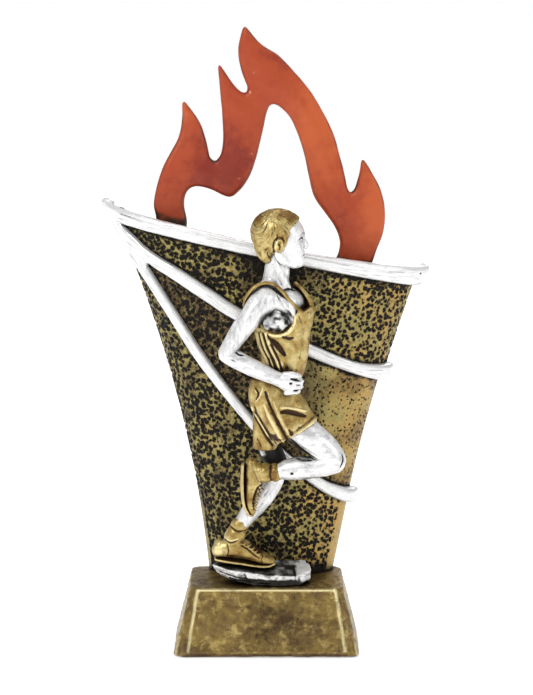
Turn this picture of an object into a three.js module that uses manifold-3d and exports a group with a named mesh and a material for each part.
// Athletics figure trophy: a runner in relief in front of an open-backed torch with a flame,
// standing on a tapered plinth. Millimetres, +Z up, the viewer looks along +Y.
// The origin is on the underside of the plinth, below the middle of its top face.
import * as THREE from 'three';
import { mergeVertices } from 'three/addons/utils/BufferGeometryUtils.js';
import { ConvexGeometry } from 'three/addons/geometries/ConvexGeometry.js';
import { LoftGeometry } from 'three/addons/geometries/LoftGeometry.js';
import Module from 'manifold-3d';

const wasm = await Module();
wasm.setup();

// ---------- driving dimensions ----------
const GAP = 0.3; // room left between two pieces that touch

const PLINTH = {
  bottom: 0.4, top: 22, bottomHalf: 29.9, topHalf: 24.6,
  bottomFront: -20, bottomBack: 17.5, topFront: -15.5, topBack: 14.5, corner: 3.2,
};
const PANEL = { bottomHalf: 25.8, topHalf: 22.6, low: 1.6, high: 21.0, proud: 0.9 };
const PAD = { inset: 2.4, thickness: 1.0 };

const SHELL = {
  base: PLINTH.top + GAP, leftTop: 142.2, rightTop: 121.3, back: 13, wall: 4,
  floorAt: 0.03, deckBottomAt: 0.875, deckTopAt: 0.955,
};
const BAND_HEIGHT = 1.7; // how far a band stands off the torch
const FLAME = { front: 3, thickness: 5, tip: 200 };

const COLOURS = {
  bronze: 0x7d6a3e, silver: 0xd6d6d3, gold: 0x9c7c3f, copper: 0xb4512f, felt: 0x1d1f1c,
};

// ---------- solids ----------
const toSolid = (geometry) => {
  const bare = new THREE.BufferGeometry();
  bare.setAttribute('position', geometry.attributes.position);
  bare.setIndex(geometry.index);
  const merged = mergeVertices(bare, 1e-4);
  const vertProperties = new Float32Array(merged.attributes.position.array);
  const triVerts = new Uint32Array(merged.index.array);
  return new wasm.Manifold(new wasm.Mesh({ numProp: 3, vertProperties, triVerts }));
};

const toGeometry = (solid) => {
  const mesh = solid.getMesh();
  const geometry = new THREE.BufferGeometry();
  geometry.setAttribute('position', new THREE.BufferAttribute(mesh.vertProperties, 3));
  geometry.setIndex(new THREE.BufferAttribute(mesh.triVerts, 1));
  geometry.computeVertexNormals();
  return geometry;
};

const join = (...solids) => solids.reduce((whole, solid) => whole.add(solid));
const cut = (solid, ...tools) => tools.reduce((rest, tool) => rest.subtract(tool), solid);

const box = (low, high) => {
  const size = high.map((value, i) => value - low[i]);
  const geometry = new THREE.BoxGeometry(...size);
  geometry.translate(...low.map((value, i) => value + size[i] / 2));
  return toSolid(geometry);
};

// Everything on the side of a plane that its normal points to, and half a gap before it.
const beyond = (point, normal) => {
  const reach = 120;
  const direction = new THREE.Vector3(...normal).normalize();
  const geometry = new THREE.BoxGeometry(reach, reach, reach);
  geometry.translate(0, 0, reach / 2 - GAP / 2);
  const turn = new THREE.Quaternion().setFromUnitVectors(new THREE.Vector3(0, 0, 1), direction);
  geometry.applyQuaternion(turn);
  geometry.translate(...point);
  return toSolid(geometry);
};

const ellipsoid = (centre, radii) => {
  const geometry = new THREE.SphereGeometry(1, 16, 10);
  geometry.scale(...radii);
  geometry.translate(...centre);
  return toSolid(geometry);
};

// A polygon in the front elevation, [x, z] points, run through from one y to another.
const slabOf = (outline, fromY, toY) => {
  const shape = new THREE.Shape(outline.map(([x, z]) => new THREE.Vector2(x, z)));
  const geometry = new THREE.ExtrudeGeometry(shape, { depth: toY - fromY, bevelEnabled: false });
  geometry.rotateX(Math.PI / 2);
  geometry.translate(0, toY, 0);
  return toSolid(geometry);
};

// ---------- lofts ----------
// A limb runs through stations [x, y, z, r, ry]: r is its half thickness seen from the front,
// ry its half thickness towards the viewer. Round ends close it, flat ends are left square.
const limb = (stations, { grow = 0, roundStart = true, roundEnd = true, sides = 14 } = {}) => {
  const centres = new THREE.CatmullRomCurve3(stations.map(([x, y, z]) => new THREE.Vector3(x, y, z)));
  const sizes = new THREE.CatmullRomCurve3(
    stations.map(([, , , r, ry]) => new THREE.Vector3(r + grow, ry + grow, 0)),
  );
  const rings = [];
  const addRing = (t, shift, scale) => {
    const tangent = centres.getTangent(t);
    const depth = new THREE.Vector3(0, 1, 0);
    const across = new THREE.Vector3().crossVectors(depth, tangent).normalize();
    const size = sizes.getPoint(t);
    const centre = centres.getPoint(t).addScaledVector(tangent, shift);
    rings.push(Array.from({ length: sides }, (_, i) => {
      const angle = (i / sides) * Math.PI * 2;
      return centre.clone()
        .addScaledVector(across, Math.cos(angle) * size.x * scale)
        .addScaledVector(depth, Math.sin(angle) * size.y * scale);
    }));
  };
  const [, , , firstR] = stations[0];
  const [, , , lastR] = stations.at(-1);
  if (roundStart) {
    addRing(0, -(firstR + grow) * 0.8, 0.35);
    addRing(0, -(firstR + grow) * 0.5, 0.8);
  } else if (grow > 0) {
    addRing(0, -grow, 1);
  }
  const steps = (stations.length - 1) * 2;
  for (let i = 0; i <= steps; i += 1) addRing(i / steps, 0, 1);
  if (roundEnd) {
    addRing(1, (lastR + grow) * 0.5, 0.8);
    addRing(1, (lastR + grow) * 0.8, 0.35);
  } else if (grow > 0) {
    addRing(1, grow, 1);
  }
  return toSolid(new LoftGeometry(rings, { closed: true, capStart: true, capEnd: true }));
};

// A stack of level ovals [z, x, halfX, y, halfY], from the lowest up.
const stack = (levels, { grow = 0, sides = 18 } = {}) => {
  const rings = levels.map(([z, x, halfX, y, halfY], level) => {
    const end = level === 0 ? -1 : level === levels.length - 1 ? 1 : 0;
    return Array.from({ length: sides }, (_, i) => {
      const angle = (i / sides) * Math.PI * 2;
      return new THREE.Vector3(
        x + Math.cos(angle) * (halfX + grow),
        y + Math.sin(angle) * (halfY + grow),
        z + end * grow,
      );
    });
  });
  return toSolid(new LoftGeometry(rings, { closed: true, capStart: true, capEnd: true }));
};

// ---------- the torch's surface ----------
// s runs up the torch from 0 to 1; a runs across it from the left edge (0) to the right (pi).
const lerp = THREE.MathUtils.lerp;
const leftEdge = (s) => -19 - 12 * s - 19.6 * s * s;
const rightEdge = (s) => 22 + 20 * s + 7.2 * s * s;
const bulge = (s) => 12.7 + 9.3 * s;

const torchPoint = (a, s, inset = 0) => {
  const middle = (leftEdge(s) + rightEdge(s)) / 2;
  const half = (rightEdge(s) - leftEdge(s)) / 2;
  const across = (1 - Math.cos(a)) / 2;
  return new THREE.Vector3(
    middle - (half - inset) * Math.cos(a),
    SHELL.back - (bulge(s) - inset) * Math.sin(a),
    SHELL.base + s * lerp(SHELL.leftTop - SHELL.base, SHELL.rightTop - SHELL.base, across),
  );
};

// The surface place [a, s] that lies behind a point [x, z] of the front elevation.
const torchPlace = (x, z) => {
  let low = 0;
  let high = 1.1;
  let a = 0;
  while (high - low > 1e-5) {
    const s = (low + high) / 2;
    const middle = (leftEdge(s) + rightEdge(s)) / 2;
    const half = (rightEdge(s) - leftEdge(s)) / 2;
    a = Math.acos(THREE.MathUtils.clamp((middle - x) / half, -1, 1));
    if (torchPoint(a, s).z < z) low = s;
    else high = s;
  }
  return [a, low];
};

const torchNormal = (a, s) => {
  const step = 1e-3;
  const acrossStep = torchPoint(a + step, s).sub(torchPoint(a - step, s));
  const upStep = torchPoint(a, s + step).sub(torchPoint(a, s - step));
  return acrossStep.cross(upStep).normalize();
};

// ---------- plinth ----------
const roundedRectangle = (halfX, frontY, backY, radius, z) => {
  const points = [];
  const corners = [
    [halfX - radius, backY - radius, 0],
    [-halfX + radius, backY - radius, 1],
    [-halfX + radius, frontY + radius, 2],
    [halfX - radius, frontY + radius, 3],
  ];
  for (const [x, y, quarter] of corners) {
    for (let i = 0; i <= 4; i += 1) {
      const angle = (quarter + i / 4) * Math.PI / 2;
      points.push(new THREE.Vector3(x + Math.cos(angle) * radius, y + Math.sin(angle) * radius, z));
    }
  }
  return points;
};

const plinthRing = (z, tuck = 0) => {
  const t = (z - PLINTH.bottom) / (PLINTH.top - PLINTH.bottom);
  return roundedRectangle(
    lerp(PLINTH.bottomHalf, PLINTH.topHalf, t) - tuck,
    lerp(PLINTH.bottomFront, PLINTH.topFront, t) + tuck,
    lerp(PLINTH.bottomBack, PLINTH.topBack, t) - tuck,
    PLINTH.corner,
    z,
  );
};

const padRing = (z, grow) => roundedRectangle(
  PLINTH.bottomHalf - PAD.inset + grow,
  PLINTH.bottomFront + PAD.inset - grow,
  PLINTH.bottomBack - PAD.inset + grow,
  PLINTH.corner,
  z,
);

const basePad = () => toSolid(new LoftGeometry(
  [padRing(0, 0), padRing(PAD.thickness, 0)],
  { closed: true, capStart: true, capEnd: true },
));

const plinth = () => {
  const levels = [[PLINTH.bottom, 1], [1.4, 0.1], [3, 0], [20.4, 0], [21.4, 0.2], [PLINTH.top, 0.9]];
  const body = toSolid(new LoftGeometry(
    levels.map(([z, tuck]) => plinthRing(z, tuck)),
    { closed: true, capStart: true, capEnd: true },
  ));
  const panel = slabOf([
    [-PANEL.bottomHalf, PANEL.low], [PANEL.bottomHalf, PANEL.low],
    [PANEL.topHalf, PANEL.high], [-PANEL.topHalf, PANEL.high],
  ], PLINTH.bottomFront - 5, 0);
  const rings = [plinthRing(PLINTH.bottom), plinthRing(PLINTH.top)];
  const proud = toSolid(new LoftGeometry(rings, { closed: true, capStart: true, capEnd: true }))
    .translate([0, -PANEL.proud, 0])
    .intersect(panel);
  const padSeat = toSolid(new LoftGeometry(
    [padRing(-1, GAP), padRing(PAD.thickness + GAP, GAP)],
    { closed: true, capStart: true, capEnd: true },
  ));
  return cut(join(body, proud), padSeat);
};

// ---------- torch ----------
const ACROSS_STEPS = 22;

const torchBlock = (fromS, toS, inset, behind, steps) => {
  const rings = [];
  for (let row = 0; row <= steps; row += 1) {
    const s = lerp(fromS, toS, row / steps);
    const ring = [];
    for (let i = 0; i <= ACROSS_STEPS; i += 1) {
      ring.push(torchPoint((i / ACROSS_STEPS) * Math.PI, s, inset));
    }
    const right = ring.at(-1);
    const left = ring[0];
    ring.push(new THREE.Vector3(right.x, right.y + behind, right.z));
    ring.push(new THREE.Vector3(left.x, left.y + behind, left.z));
    rings.push(ring);
  }
  return toSolid(new LoftGeometry(rings, { closed: true, capStart: true, capEnd: true }));
};

const TENONS = [
  { low: [-33.6, FLAME.front + 0.8, 126.5], high: [-27.2, FLAME.front + 4.2, 134] },
  { low: [24.4, FLAME.front + 0.8, 114.5], high: [30.8, FLAME.front + 4.2, 122] },
];

const torchShell = () => {
  const block = torchBlock(0, 1, 0, 0.6, 12);
  const recess = torchBlock(SHELL.floorAt, SHELL.deckBottomAt, SHELL.wall, 8, 10);
  const bowl = torchBlock(SHELL.deckTopAt, 1.08, SHELL.wall, 8, 2);
  const sockets = TENONS.map(({ low, high }) => box(
    low.map((value, i) => (i < 2 ? value - GAP : value - GAP)),
    high.map((value, i) => (i < 2 ? value + GAP : value + 8)),
  ));
  return cut(block, recess, bowl, ...sockets);
};

// ---------- bands ----------
// Cross-section of a band: [share of its half width, share of its height].
const BAND_PROFILE = [[1, 0], [0.96, 0.55], [0.62, 0.92], [0, 1], [-0.62, 0.92], [-0.96, 0.55], [-1, 0]];

// places: [a, s, half width], from the left to the right
const band = (places, { grow = 0, steps = 30 } = {}) => {
  const route = new THREE.CatmullRomCurve3(places.map((place) => new THREE.Vector3(...place)));
  const rings = [];
  const ringAt = (t, scale) => {
    const { x: a, y: s, z: half } = route.getPoint(t);
    const before = route.getPoint(Math.max(t - 0.004, 0));
    const after = route.getPoint(Math.min(t + 0.004, 1));
    const along = torchPoint(after.x, after.y).sub(torchPoint(before.x, before.y)).normalize();
    const outward = torchNormal(a, s);
    const across = new THREE.Vector3().crossVectors(outward, along).normalize();
    const foot = torchPoint(a, s).addScaledVector(outward, GAP - grow);
    rings.push(BAND_PROFILE.map(([share, rise]) => foot.clone()
      .addScaledVector(across, share * (half * scale + grow))
      .addScaledVector(outward, rise * (BAND_HEIGHT * (0.5 + scale / 2) + 2 * grow))));
  };
  for (let i = 0; i <= steps; i += 1) {
    const fromEnd = Math.min(i, steps - i);
    ringAt(i / steps, fromEnd === 0 ? 0.6 : 1);
  }
  return toSolid(new LoftGeometry(rings, { closed: true, capStart: true, capEnd: true }));
};

const bandPlaces = (points) => points.map(([x, z, half]) => [...torchPlace(x, z), half]);

const RIM_LEVEL = 0.985;
const rimPlaces = [
  [0.1, RIM_LEVEL, 1.2], [0.3, RIM_LEVEL, 2.2], [0.8, RIM_LEVEL, 2.4], [1.6, RIM_LEVEL, 2.3],
  [2.4, RIM_LEVEL, 2.1], [3.04, RIM_LEVEL, 2.1],
];
const middlePlaces = bandPlaces([
  [-46.6, 135, 1.4], [-39, 128.4, 2.6], [-28, 121.6, 2.8], [-18, 115.2, 2.5], [-8.8, 109.4, 2.2],
  [13.3, 98, 1.8], [26.9, 91.8, 1.6], [35.1, 89.1, 1.9], [39.3, 88.2, 1.9],
]);
const lowerPlaces = bandPlaces([
  [-45.6, 130.6, 1.4], [-41.6, 125, 2.2], [-36.4, 118.6, 1.9], [-29.5, 108, 1.8],
  [-21.4, 95.4, 1.8], [-13.4, 84.8, 1.6], [-4.2, 73.4, 1.6], [5, 63.4, 1.4], [16, 53.9, 1.3],
  [21.5, 50.2, 1.5], [25, 48.1, 1.5], [27.8, 46.6, 1.5],
]);

const rimBand = () => band(rimPlaces, { steps: 36 });
const middleBand = () => cut(band(middlePlaces), band(rimPlaces, { steps: 36, grow: GAP }));
const lowerBand = () => cut(
  band(lowerPlaces, { steps: 36 }),
  band(middlePlaces, { grow: GAP }),
  band(rimPlaces, { steps: 36, grow: GAP }),
);

// ---------- flame ----------
// Each run of points is one smooth edge; runs meet in the flame's tips and notches.
const FLAME_OUTSIDE = [
  [[-34.4, 134.6], [-35.6, 139.5], [-36.2, 145], [-32.7, 156.2], [-28.2, 165], [-26.8, 171], [-26.8, 176.4]],
  [[-26, 176.2], [-21.5, 170], [-19.2, 164], [-18, 158.4]],
  [[-16.4, 157.2], [-14.6, 160], [-13.9, 166], [-14.5, 177], [-15.5, 187.8]],
  [[-14.8, 188], [-11, 182.4], [-8.4, 179.6], [-6.5, 178.9]],
  [[-6, 180.8], [-8.1, 186.5], [-9, 192.8], [-7.4, FLAME.tip - 0.2]],
  [[-6.6, FLAME.tip], [-1.4, 194.4], [4.3, 190.6], [10.6, 183.9], [16.4, 176], [21.2, 166.8], [23.8, 157.8],
    [25.9, 148.6]],
  [[26.8, 146.9], [28.4, 148.6], [29.8, 153.5], [30.4, 157.6]],
  [[31.1, 157.6], [33.4, 154], [36.4, 148.2], [37.9, 141], [37.5, 134.8], [35.6, 129.2], [32.4, 120.9]],
];
const FLAME_INSIDE = [
  [[22.8, 122.8], [23.4, 126.6], [23.6, 131], [21.9, 136], [18.4, 141.2], [15.2, 146], [13.3, 153], [11.6, 161],
    [8.1, 170], [4.4, 174.4], [1.7, 175.4], [0.2, 173.1], [-1.4, 165.8], [-3.4, 157.8], [-5.6, 152.1],
    [-8.5, 147.9], [-12, 145.7], [-18.1, 148.2], [-22.9, 149.1], [-25.6, 147.4], [-26.6, 143.4],
    [-25.6, 137.5], [-26.4, 132.9]],
];

const flame = () => {
  const shape = new THREE.Shape();
  const [[startX, startZ]] = FLAME_OUTSIDE[0];
  shape.moveTo(startX, startZ);
  for (const run of [...FLAME_OUTSIDE, ...FLAME_INSIDE]) {
    const [[x, z], ...rest] = run;
    if (run !== FLAME_OUTSIDE[0]) shape.lineTo(x, z);
    shape.splineThru(rest.map(([px, pz]) => new THREE.Vector2(px, pz)));
  }
  shape.closePath();
  const geometry = new THREE.ExtrudeGeometry(shape, {
    depth: FLAME.thickness, curveSegments: 4, bevelEnabled: false,
  });
  geometry.rotateX(Math.PI / 2);
  geometry.translate(0, FLAME.front + FLAME.thickness, 0);
  const tenons = TENONS.map(({ low, high }) => box(low, high));
  return join(toSolid(geometry), ...tenons);
};

// ---------- rock the runner stands on ----------
const rockSlab = () => {
  const top = [
    [-17.8, -10, 28.5], [-12, -13.2, 27.2], [-3.6, -14.2, 26.1], [2.6, -14.5, 25.3], [9.8, -13.8, 25.4],
    [14.8, -9.5, 26.6], [13.6, -3, 26.9], [4, -2.4, 26.8], [-8, -3.4, 27.6], [-15.5, -5.5, 28.3],
  ];
  const bottom = [
    [-15, -9.5, 25], [-10, -12.6, 23.6], [-4.5, -13.7, 22.5], [3.3, -14.2, 22.3], [10.5, -13.3, 22.3],
    [13.8, -9, 22.6], [12.5, -3.2, 22.3], [-7, -3.6, 22.3], [-12.5, -6, 23],
  ];
  return toSolid(new ConvexGeometry([...top, ...bottom].map((point) => new THREE.Vector3(...point))));
};

// ---------- the runner ----------
const HEAD_Y = -17.3; // middle plane of the head, which leans clear of the torch's rim
const BODY_Y = -15.6; // middle plane of the trunk
const NEAR_Y = -18; // middle plane of the raised leg
const FAR_Y = -9.8; // middle plane of the standing foot

const skull = (grow = 0) => stack([
  [126, 9.4, 1.8, HEAD_Y, 2], [127.2, 8.4, 3.6, HEAD_Y, 3.6], [129.2, 7.2, 5.2, HEAD_Y, 4.9],
  [131.6, 5.8, 6.7, HEAD_Y, 5.7], [134.6, 4.7, 7.7, HEAD_Y, 6.2], [138, 4.3, 7.8, HEAD_Y, 6.3],
  [141, 3.9, 6.8, HEAD_Y, 5.5], [143, 3.5, 4.6, HEAD_Y, 3.8], [143.8, 3.3, 2, HEAD_Y, 1.7],
], { grow });

const neckColumn = (grow = 0) => limb([
  [2.4, BODY_Y, 119.4, 4.6, 4.6], [3, BODY_Y - 0.6, 123, 4.1, 4.2], [3.8, HEAD_Y + 0.2, 128.4, 4, 4.2],
], { grow, roundStart: false, roundEnd: false });

const head = () => {
  const nose = limb([
    [12, HEAD_Y, 134.6, 0.5, 0.7], [12.7, HEAD_Y, 133, 0.8, 0.9], [13, HEAD_Y, 131.9, 0.9, 1.1],
  ], { sides: 10 });
  const ear = (side) => ellipsoid([3.6, HEAD_Y + side * 5.9, 132.9], [1.5, 0.9, 2.1]);
  return join(skull(), nose, ear(1), ear(-1));
};

// Everything in front of and below the hairline.
const faceAndNape = () => slabOf([
  [11.6, 143], [10.8, 140.6], [8.4, 139.4], [6.2, 137], [5.6, 134.8], [1.6, 134.4], [1.8, 130.6],
  [0.6, 128.6], [-8, 127.6], [-8, 110], [30, 110], [30, 143],
], HEAD_Y - 12, HEAD_Y + 12);

const hair = () => cut(skull(0.95), skull(GAP), faceAndNape());
const neck = () => cut(neckColumn(), skull(GAP), rightUpperArmShape(GAP));

const rightUpperArmShape = (grow = 0) => limb([
  [-0.9, -21.6, 117.6, 3.9, 3.2], [-2, -22.2, 115, 4.8, 3.8], [-4.7, -22.6, 111.5, 3.8, 3.6],
  [-8.1, -22.8, 106.9, 3.2, 3.2], [-11.2, -22.9, 102.2, 2.8, 2.9], [-12.5, -22.9, 99.4, 2.7, 2.8],
], { grow });
const rightForearmShape = (grow = 0) => limb([
  [-12.2, -22.9, 99, 2.7, 2.7], [-7.2, -23.1, 96.5, 2.7, 2.7], [-1.2, -23.3, 93.7, 2.5, 2.5],
  [3.4, -23.4, 91.6, 2.3, 2.2],
], { grow, roundEnd: false });
const ELBOW = [-12.2, -22.9, 99.2];
const ELBOW_UP = [0.3, 0, 1]; // towards the upper arm, square to the fold of the elbow
const turned = (normal) => normal.map((value) => -value);

const rightUpperArm = () => cut(rightUpperArmShape(), beyond(ELBOW, turned(ELBOW_UP)));
const rightForearm = () => cut(rightForearmShape(), beyond(ELBOW, ELBOW_UP));
const rightHandShape = (grow = 0) => limb([
  [3.9, -23.4, 91.4, 2.4, 2.3], [6.6, -23.4, 90.7, 3.4, 2.8], [9.3, -23.4, 90.2, 3.7, 3],
  [10.6, -23.4, 89.8, 3.4, 2.8],
], { grow, roundStart: false });
const rightHand = () => rightHandShape();

const leftUpperArmShape = (grow = 0) => limb([
  [3, -11.6, 116.4, 3.4, 1.8], [2.4, -11.4, 110, 3.1, 1.8], [1.8, -11.2, 103.4, 2.6, 1.7],
  [1.4, -10.8, 99.6, 2.4, 1.7],
], { grow });
const leftForearmShape = (grow = 0) => limb([
  [1.4, -10.8, 98.6, 2.4, 1.7], [4, -10.4, 97.6, 2.3, 1.7], [7, -10.2, 98.4, 2.1, 1.7],
  [9.6, -10.2, 99.6, 2.5, 1.9],
], { grow });
const LEFT_ELBOW = [1.4, -10.8, 99.1];
const leftUpperArm = () => cut(leftUpperArmShape(), beyond(LEFT_ELBOW, [0, 0, -1]));
const leftForearm = () => cut(leftForearmShape(), beyond(LEFT_ELBOW, [0, 0, 1]));

const WAIST = [2.5, BODY_Y, 89.8];
const WAIST_UP = [-0.05, 0, 1];

const vest = () => {
  const trunk = stack([
    [88, 2.5, 7.8, BODY_Y, 5.6], [92, 4.2, 7.5, BODY_Y, 5.9], [97, 5.7, 7.4, BODY_Y, 6.5],
    [101, 5.3, 8.1, BODY_Y, 6.7], [106, 4.9, 9.1, BODY_Y, 7], [110, 4.7, 10.3, BODY_Y, 7.3],
    [114.5, 4.3, 10.2, BODY_Y, 7.3],
    [118.5, 3.9, 8, BODY_Y, 6.9], [121.2, 3.4, 5.6, BODY_Y, 6], [122.2, 3.2, 3.4, BODY_Y, 4.4],
  ]);
  const armhole = ellipsoid([2.6, -23.6, 109.6], [6.4, 3.6, 4.4]);
  return cut(
    trunk, armhole, beyond(WAIST, turned(WAIST_UP)), neckColumn(GAP), rightUpperArmShape(GAP),
    rightForearmShape(GAP), rightHandShape(GAP), leftUpperArmShape(GAP), leftForearmShape(GAP),
  );
};

const rightThighShape = (grow = 0) => limb([
  [10, -17.7, 75.4, 5, 4.6], [13.1, -17.8, 72.4, 5.1, 4.7], [16.3, NEAR_Y, 70, 4.9, 4.6],
  [19.6, NEAR_Y, 67.2, 4.6, 4.4], [21.6, NEAR_Y, 65, 4.5, 4.2],
], { grow, roundStart: false });
const rightShinShape = (grow = 0) => limb([
  [21.4, NEAR_Y, 63.6, 4.3, 4.1], [16, NEAR_Y, 62, 3.6, 3.7], [9, NEAR_Y, 61.3, 3.4, 3.3],
  [5, NEAR_Y, 60.8, 2.7, 2.7], [3, NEAR_Y, 60.5, 2.4, 2.4],
], { grow, roundEnd: false });
const RIGHT_KNEE = [18.6, NEAR_Y, 64.2];
const RIGHT_KNEE_UP = [0.28, 0, 0.96];

const leftThighShape = (grow = 0) => limb([
  [-0.3, -10.8, 70, 3.4, 3.3], [1.2, -10.8, 66.2, 3.6, 3.4], [3.6, -10.7, 61.8, 3.7, 3.4],
], { grow, roundStart: false });
const leftShinShape = (grow = 0) => limb([
  [3.6, -10.6, 60.2, 3.6, 3.3], [1, -10.4, 54.6, 3.8, 3.4], [-2.6, -10.1, 49.6, 3.6, 3.3],
  [-6.3, FAR_Y, 44.6, 2.8, 2.7], [-8.7, FAR_Y, 41.2, 2.4, 2.4],
], { grow, roundEnd: false });
const LEFT_KNEE = [3.6, -10.6, 61];
const LEFT_KNEE_UP = [-0.2, 0, 1];

const rightThigh = () => cut(rightThighShape(), beyond(RIGHT_KNEE, turned(RIGHT_KNEE_UP)));
const rightShin = () => cut(rightShinShape(), beyond(RIGHT_KNEE, RIGHT_KNEE_UP), rightThighShape(0.02));
const leftThigh = () => cut(leftThighShape(), beyond(LEFT_KNEE, turned(LEFT_KNEE_UP)));
const leftShin = () => cut(leftShinShape(), beyond(LEFT_KNEE, LEFT_KNEE_UP));

const shorts = () => {
  const pelvis = stack([
    [78, 3, 5.6, BODY_Y, 4.6], [80.5, 2.6, 7.4, BODY_Y, 6.2], [84, 2.5, 8.2, BODY_Y, 6.5],
    [87, 2.3, 8.3, BODY_Y, 6.3], [91.4, 2.5, 8.1, BODY_Y, 5.7],
  ]);
  const nearLeg = limb([
    [2.2, -16.6, 86, 7.4, 5.2], [4.8, -17.1, 81.2, 7.6, 5.6], [9.1, -17.5, 73.9, 7.8, 5.8],
  ], { roundEnd: false });
  const farLeg = limb([
    [1.6, -12, 84, 6, 4.2], [0, -11, 75, 4.4, 4.1], [-0.3, -10.8, 67, 3.9, 3.8],
  ], { roundEnd: false });
  return cut(
    join(pelvis, nearLeg, farLeg), beyond(WAIST, WAIST_UP), rightThighShape(GAP), leftThighShape(GAP),
    rightHandShape(GAP), rightForearmShape(GAP),
  );
};

const rightSock = () => limb([
  [2.7, NEAR_Y, 60.5, 3, 2.9], [0.6, NEAR_Y, 60.4, 3.1, 3], [-1.4, NEAR_Y, 60.3, 3.2, 3.1],
], { roundStart: false, roundEnd: false });
const leftSock = () => limb([
  [-8.9, FAR_Y, 40.9, 2.9, 2.8], [-9.9, FAR_Y, 38.9, 3.1, 2.9], [-10.7, FAR_Y, 36.9, 3.2, 3],
], { roundStart: false, roundEnd: false });

const rightTrainerShape = (grow = 0) => limb([
  [-4.7, NEAR_Y, 62.8, 2.1, 2.3], [-4.6, NEAR_Y, 60.4, 2.4, 2.8], [-4.4, NEAR_Y, 57.4, 2.7, 2.9],
  [-5.2, NEAR_Y, 54.4, 2, 2.9], [-5.6, NEAR_Y, 51.4, 1.6, 3], [-5, NEAR_Y, 48.6, 1.3, 2.7],
  [-4.4, NEAR_Y, 47.6, 1.1, 2],
], { grow });
const rightSoleShape = (grow = 0) => limb([
  [-7.6, NEAR_Y, 62.6, 0.55, 2.4], [-7.7, NEAR_Y, 58, 0.6, 3], [-7.5, NEAR_Y, 53, 0.6, 3.1],
  [-6.9, NEAR_Y, 49.6, 0.6, 3.1], [-5.6, NEAR_Y, 47, 0.55, 2.3],
], { grow });
const rightTrainer = () => cut(rightTrainerShape(), rightSoleShape(GAP), beyond([-2, NEAR_Y, 61], [1, 0, 0.1]));
const rightSole = () => rightSoleShape();

const leftTrainerShape = () => limb([
  [-14.8, FAR_Y, 33, 2.7, 2.5], [-11.4, FAR_Y, 33.2, 3, 2.9], [-7.6, FAR_Y, 32.5, 2.9, 3],
  [-3.8, FAR_Y, 31, 2.2, 3.1], [-0.4, FAR_Y, 29.9, 1.6, 3], [1.6, FAR_Y, 29.4, 1.2, 2.3],
]);
const leftSoleShape = (grow = 0) => limb([
  [-15.8, FAR_Y, 30.1, 0.6, 2.3], [-11, FAR_Y, 29.5, 0.6, 2.8], [-6, FAR_Y, 28.8, 0.6, 2.8],
  [-1, FAR_Y, 28.1, 0.6, 3.2], [2.4, FAR_Y, 28.2, 0.55, 2.2],
], { grow });
const leftTrainer = () => cut(
  leftTrainerShape(), leftSoleShape(GAP), limb([
    [-8.9, FAR_Y, 40.9, 2.9, 2.8], [-9.9, FAR_Y, 38.9, 3.1, 2.9], [-10.7, FAR_Y, 36.9, 3.2, 3],
  ], { grow: GAP, roundStart: false, roundEnd: false }),
);
const leftSole = () => leftSoleShape();

// ---------- the trophy ----------
const PIECES = [
  ['base_pad', basePad, 'felt'],
  ['plinth', plinth, 'bronze'],
  ['torch_shell', torchShell, 'bronze'],
  ['rim_band', rimBand, 'silver'],
  ['middle_band', middleBand, 'silver'],
  ['lower_band', lowerBand, 'silver'],
  ['flame', flame, 'copper'],
  ['rock_slab', rockSlab, 'silver'],
  ['head', head, 'silver'],
  ['hair', hair, 'gold'],
  ['neck', neck, 'silver'],
  ['vest', vest, 'gold'],
  ['shorts', shorts, 'gold'],
  ['right_upper_arm', rightUpperArm, 'silver'],
  ['right_forearm', rightForearm, 'silver'],
  ['right_hand', rightHand, 'silver'],
  ['left_upper_arm', leftUpperArm, 'silver'],
  ['left_forearm', leftForearm, 'silver'],
  ['right_thigh', rightThigh, 'silver'],
  ['right_shin', rightShin, 'silver'],
  ['left_thigh', leftThigh, 'silver'],
  ['left_shin', leftShin, 'silver'],
  ['right_sock', rightSock, 'gold'],
  ['left_sock', leftSock, 'gold'],
  ['right_trainer', rightTrainer, 'gold'],
  ['left_trainer', leftTrainer, 'gold'],
  ['right_sole', rightSole, 'gold'],
  ['left_sole', leftSole, 'gold'],
];

const FINISH = {
  bronze: { roughness: 0.5, metalness: 0.7 },
  silver: { roughness: 0.35, metalness: 0.8 },
  gold: { roughness: 0.45, metalness: 0.75 },
  copper: { roughness: 0.5, metalness: 0.4 },
  felt: { roughness: 1, metalness: 0 },
};

const trophy = new THREE.Group();
for (const [name, make, paint] of PIECES) {
  const material = new THREE.MeshStandardMaterial({ color: COLOURS[paint], ...FINISH[paint] });
  const mesh = new THREE.Mesh(toGeometry(make()), material);
  mesh.name = name;
  trophy.add(mesh);
}

export default trophy;
